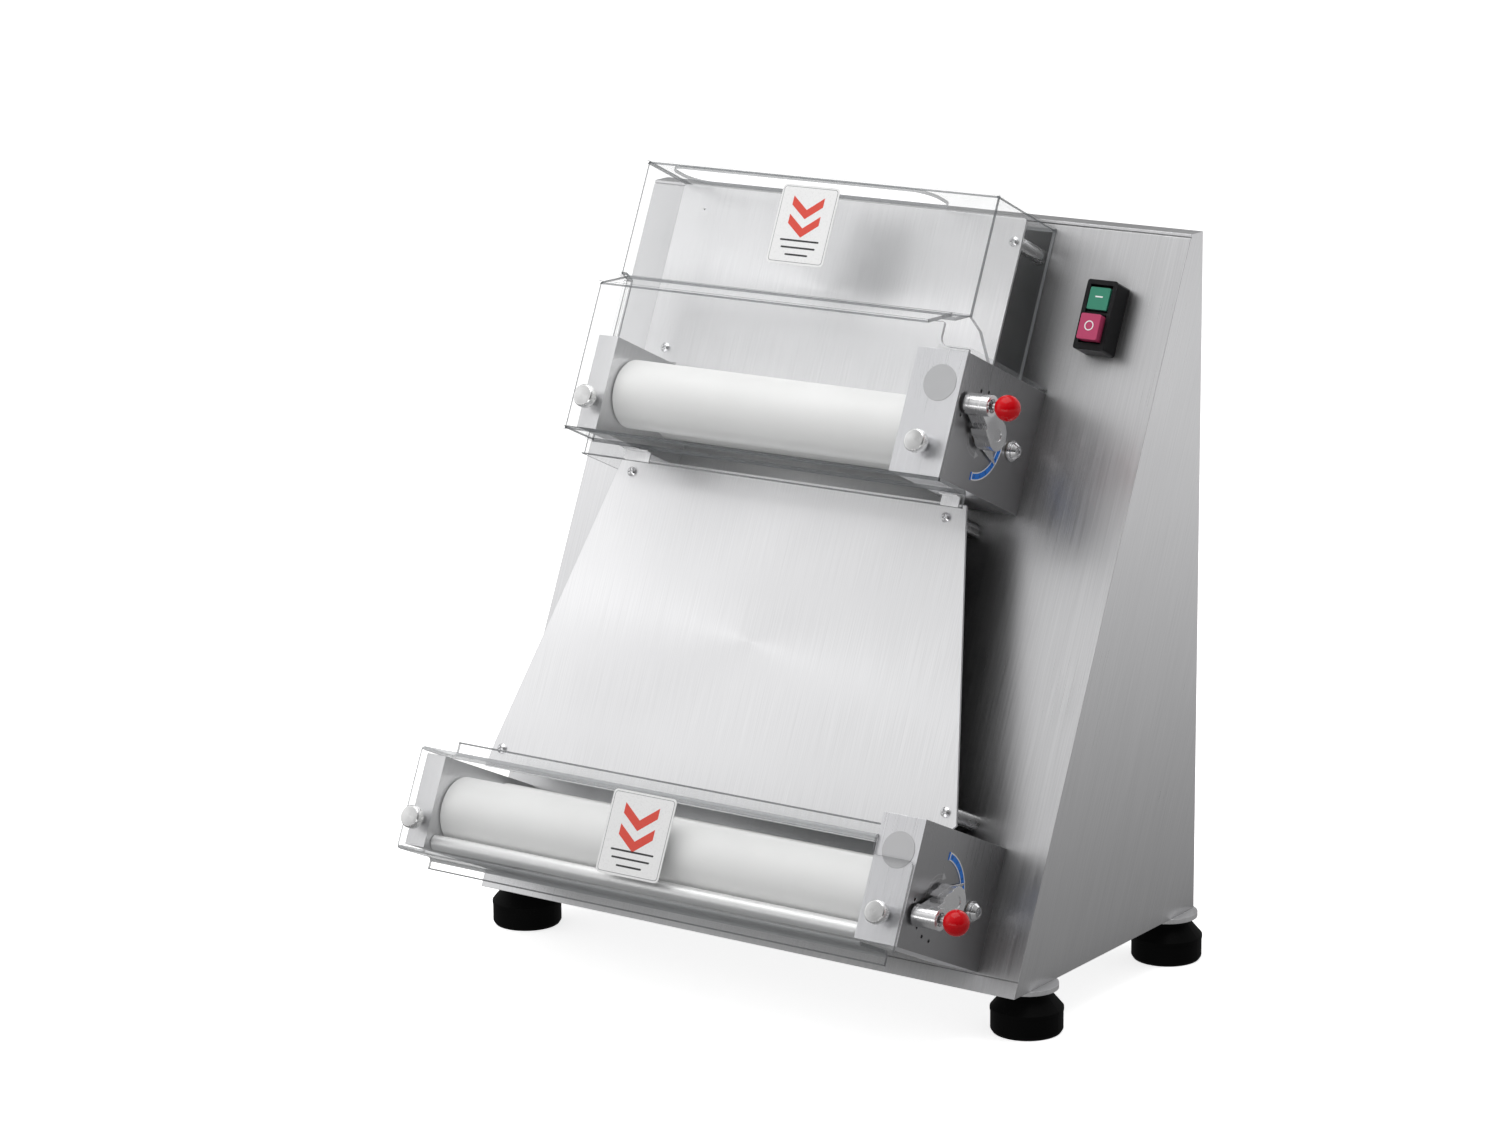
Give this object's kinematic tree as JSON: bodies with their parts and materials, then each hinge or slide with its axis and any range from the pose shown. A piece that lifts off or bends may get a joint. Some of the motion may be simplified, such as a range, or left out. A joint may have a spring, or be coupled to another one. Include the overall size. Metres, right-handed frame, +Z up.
{
  "type": "dough sheeter",
  "caption": "Bench dough sheeter: sloped steel cabinet with an upper and a lower pair of driven rollers, clear guards, gap levers and a start-stop switch.",
  "frame": {"origin": "centre of the overall footprint, on the surface the rubber feet stand on", "axes": "+Z up, +Y towards the back of the cabinet (the rollers face -Y), +X to the operator's right (gear cases, levers and switch)"},
  "size_m": [0.5589, 0.4092, 0.6411],
  "materials": {
    "body_steel": "brushed stainless sheet, vertical grain",
    "plate_steel": "satin stainless sheet",
    "cast_aluminium": "fine-milled aluminium",
    "turned_aluminium": "turned, bright",
    "case_steel": "brushed stainless sheet",
    "roller_plastic": "white, satin",
    "shaft_steel": "ground bright",
    "screw_steel": "bright",
    "lever_steel": "polished edges",
    "block_bronze": "machined bearing bronze",
    "gear_steel": "cut teeth, oiled",
    "clear_guard": "clear polycarbonate",
    "foot_rubber": "moulded, matte",
    "switch_black": "moulded, satin",
    "start_green": "moulded",
    "stop_red": "moulded",
    "ball_red": "moulded, high gloss",
    "scale_blue": "printed film",
    "plug_grey": "light grey cap",
    "gland_black": "moulded",
    "drive_paint": "enamel",
    "chain_steel": "oiled"
  },
  "bodies": {
    "cabinet": {"cabinet_shell": "body_steel", "base_plate": "plate_steel", "back_cover": "body_steel", "cable_gland": "gland_black", "rubber_feet": "foot_rubber", "foot_plates": "plate_steel", "foot_bolts": "screw_steel", "switch_housing": "switch_black", "chute_plate": "plate_steel", "feed_plate": "plate_steel", "plate_spacers": "turned_aluminium", "plate_screws": "screw_steel", "upper_case": "case_steel", "upper_cheek": "cast_aluminium", "lower_case": "case_steel", "lower_cheek": "cast_aluminium", "shaft_bushes": "block_bronze", "case_plugs": "plug_grey", "upper_scale": "scale_blue", "lower_scale": "scale_blue", "drive_chain": "chain_steel", "shaft_brackets": "plate_steel", "gearbox": "drive_paint", "motor": "drive_paint"},
    "start_button": {"start_button": "start_green"},
    "stop_button": {"stop_button": "stop_red"},
    "upper_rear_roller": {"upper_rear_roller": "roller_plastic", "upper_rear_shaft": "shaft_steel", "upper_rear_gear": "gear_steel"},
    "upper_counter_shaft": {"upper_counter_shaft": "gear_steel"},
    "upper_carriage": {"upper_blocks": "block_bronze", "upper_yoke": "cast_aluminium"},
    "upper_front_roller": {"upper_front_roller": "roller_plastic", "upper_front_shaft": "shaft_steel", "upper_front_gear": "gear_steel"},
    "upper_lever": {"upper_lever": "lever_steel", "upper_cam_shaft": "shaft_steel"},
    "upper_index_pin": {"upper_index_pin": "turned_aluminium", "upper_ball": "ball_red"},
    "upper_guard": {"upper_guard": "clear_guard"},
    "upper_knob_left": {"upper_knob_left": "turned_aluminium"},
    "upper_knob_right": {"upper_knob_right": "turned_aluminium"},
    "lower_rear_roller": {"lower_rear_roller": "roller_plastic", "lower_rear_shaft": "shaft_steel", "lower_rear_gear": "gear_steel"},
    "lower_counter_shaft": {"lower_counter_shaft": "gear_steel"},
    "lower_carriage": {"lower_blocks": "block_bronze", "lower_yoke": "cast_aluminium"},
    "lower_front_roller": {"lower_front_roller": "roller_plastic", "lower_front_shaft": "shaft_steel", "lower_front_gear": "gear_steel"},
    "lower_lever": {"lower_lever": "lever_steel", "lower_cam_shaft": "shaft_steel"},
    "lower_index_pin": {"lower_index_pin": "turned_aluminium", "lower_ball": "ball_red"},
    "lower_guard": {"lower_guard": "clear_guard"},
    "lower_knob_left": {"lower_knob_left": "turned_aluminium"},
    "lower_knob_right": {"lower_knob_right": "turned_aluminium"},
    "lower_guide_rod": {"lower_guide_rod": "shaft_steel"}
  },
  "joints": [
    {"name": "upper_rear_spin", "type": "hinge", "parent": "cabinet", "child": "upper_rear_roller", "pos_m": [0, 0.06302, 0.43948], "axis": [1, 0, 0], "continuous": true},
    {"name": "upper_counter_spin", "type": "hinge", "parent": "cabinet", "child": "upper_counter_shaft", "pos_m": [0, 0.11567, 0.41515], "axis": [1, 0, 0], "continuous": true},
    {"name": "upper_lever_turn", "type": "hinge", "parent": "cabinet", "child": "upper_lever", "pos_m": [0, 0.01623, 0.4622], "axis": [1, 0, 0], "range_deg": [-60, 20]},
    {"name": "upper_gap_slide", "type": "slide", "parent": "cabinet", "child": "upper_carriage", "axis": [0, -0.9078, 0.4195], "range_m": [-0.001, 0.003]},
    {"name": "upper_front_spin", "type": "hinge", "parent": "upper_carriage", "child": "upper_front_roller", "pos_m": [0, 0.00745, 0.45854], "axis": [1, 0, 0], "continuous": true},
    {"name": "upper_pin_pull", "type": "slide", "parent": "upper_lever", "child": "upper_index_pin", "axis": [1, 0, 0], "range_m": [0, 0.006], "stiffness_N_per_m": 300},
    {"name": "upper_guard_off", "type": "slide", "parent": "cabinet", "child": "upper_guard", "axis": [0, -0.9078, 0.4195], "range_m": [0, 0.15]},
    {"name": "upper_knob_left_turn", "type": "hinge", "parent": "upper_guard", "child": "upper_knob_left", "pos_m": [-0.1787, -0.03925, 0.4625], "axis": [0, -0.9078, 0.4195], "continuous": true},
    {"name": "upper_knob_right_turn", "type": "hinge", "parent": "upper_guard", "child": "upper_knob_right", "pos_m": [0.14532, -0.03925, 0.4625], "axis": [0, -0.9078, 0.4195], "continuous": true},
    {"name": "lower_rear_spin", "type": "hinge", "parent": "cabinet", "child": "lower_rear_roller", "pos_m": [0, -0.09072, 0.10677], "axis": [1, 0, 0], "continuous": true},
    {"name": "lower_counter_spin", "type": "hinge", "parent": "cabinet", "child": "lower_counter_shaft", "pos_m": [0, -0.03807, 0.08244], "axis": [1, 0, 0], "continuous": true},
    {"name": "lower_lever_turn", "type": "hinge", "parent": "cabinet", "child": "lower_lever", "pos_m": [0, -0.1375, 0.12949], "axis": [1, 0, 0], "range_deg": [-20, 60]},
    {"name": "lower_gap_slide", "type": "slide", "parent": "cabinet", "child": "lower_carriage", "axis": [0, -0.9078, 0.4195], "range_m": [-0.001, 0.003]},
    {"name": "lower_front_spin", "type": "hinge", "parent": "lower_carriage", "child": "lower_front_roller", "pos_m": [0, -0.14629, 0.12584], "axis": [1, 0, 0], "continuous": true},
    {"name": "lower_pin_pull", "type": "slide", "parent": "lower_lever", "child": "lower_index_pin", "axis": [1, 0, 0], "range_m": [0, 0.006], "stiffness_N_per_m": 300},
    {"name": "lower_guard_off", "type": "slide", "parent": "cabinet", "child": "lower_guard", "axis": [0, -0.9078, 0.4195], "range_m": [0, 0.15]},
    {"name": "lower_knob_left_turn", "type": "hinge", "parent": "lower_guard", "child": "lower_knob_left", "pos_m": [-0.2472, -0.19299, 0.1298], "axis": [0, -0.9078, 0.4195], "continuous": true},
    {"name": "lower_knob_right_turn", "type": "hinge", "parent": "lower_guard", "child": "lower_knob_right", "pos_m": [0.20962, -0.19299, 0.1298], "axis": [0, -0.9078, 0.4195], "continuous": true},
    {"name": "guide_rod_spin", "type": "hinge", "parent": "cabinet", "child": "lower_guide_rod", "pos_m": [0, -0.18062, 0.10756], "axis": [1, 0, 0], "continuous": true},
    {"name": "start_press", "type": "slide", "parent": "cabinet", "child": "start_button", "axis": [0, 0.9078, -0.4195], "range_m": [0, 0.0025], "stiffness_N_per_m": 300},
    {"name": "stop_press", "type": "slide", "parent": "cabinet", "child": "stop_button", "axis": [0, 0.9078, -0.4195], "range_m": [0, 0.0025], "stiffness_N_per_m": 300}
  ],
  "couplings": [
    {"joint": "upper_rear_spin", "follows": "lower_rear_spin", "ratio": 1},
    {"joint": "upper_counter_spin", "follows": "lower_rear_spin", "ratio": -1},
    {"joint": "upper_front_spin", "follows": "lower_rear_spin", "ratio": -1},
    {"joint": "upper_lever_turn", "follows": "upper_gap_slide", "rad_per_m": -349.22},
    {"joint": "lower_counter_spin", "follows": "lower_rear_spin", "ratio": -1},
    {"joint": "lower_front_spin", "follows": "lower_rear_spin", "ratio": -1},
    {"joint": "lower_lever_turn", "follows": "lower_gap_slide", "rad_per_m": 349.22}
  ]
}
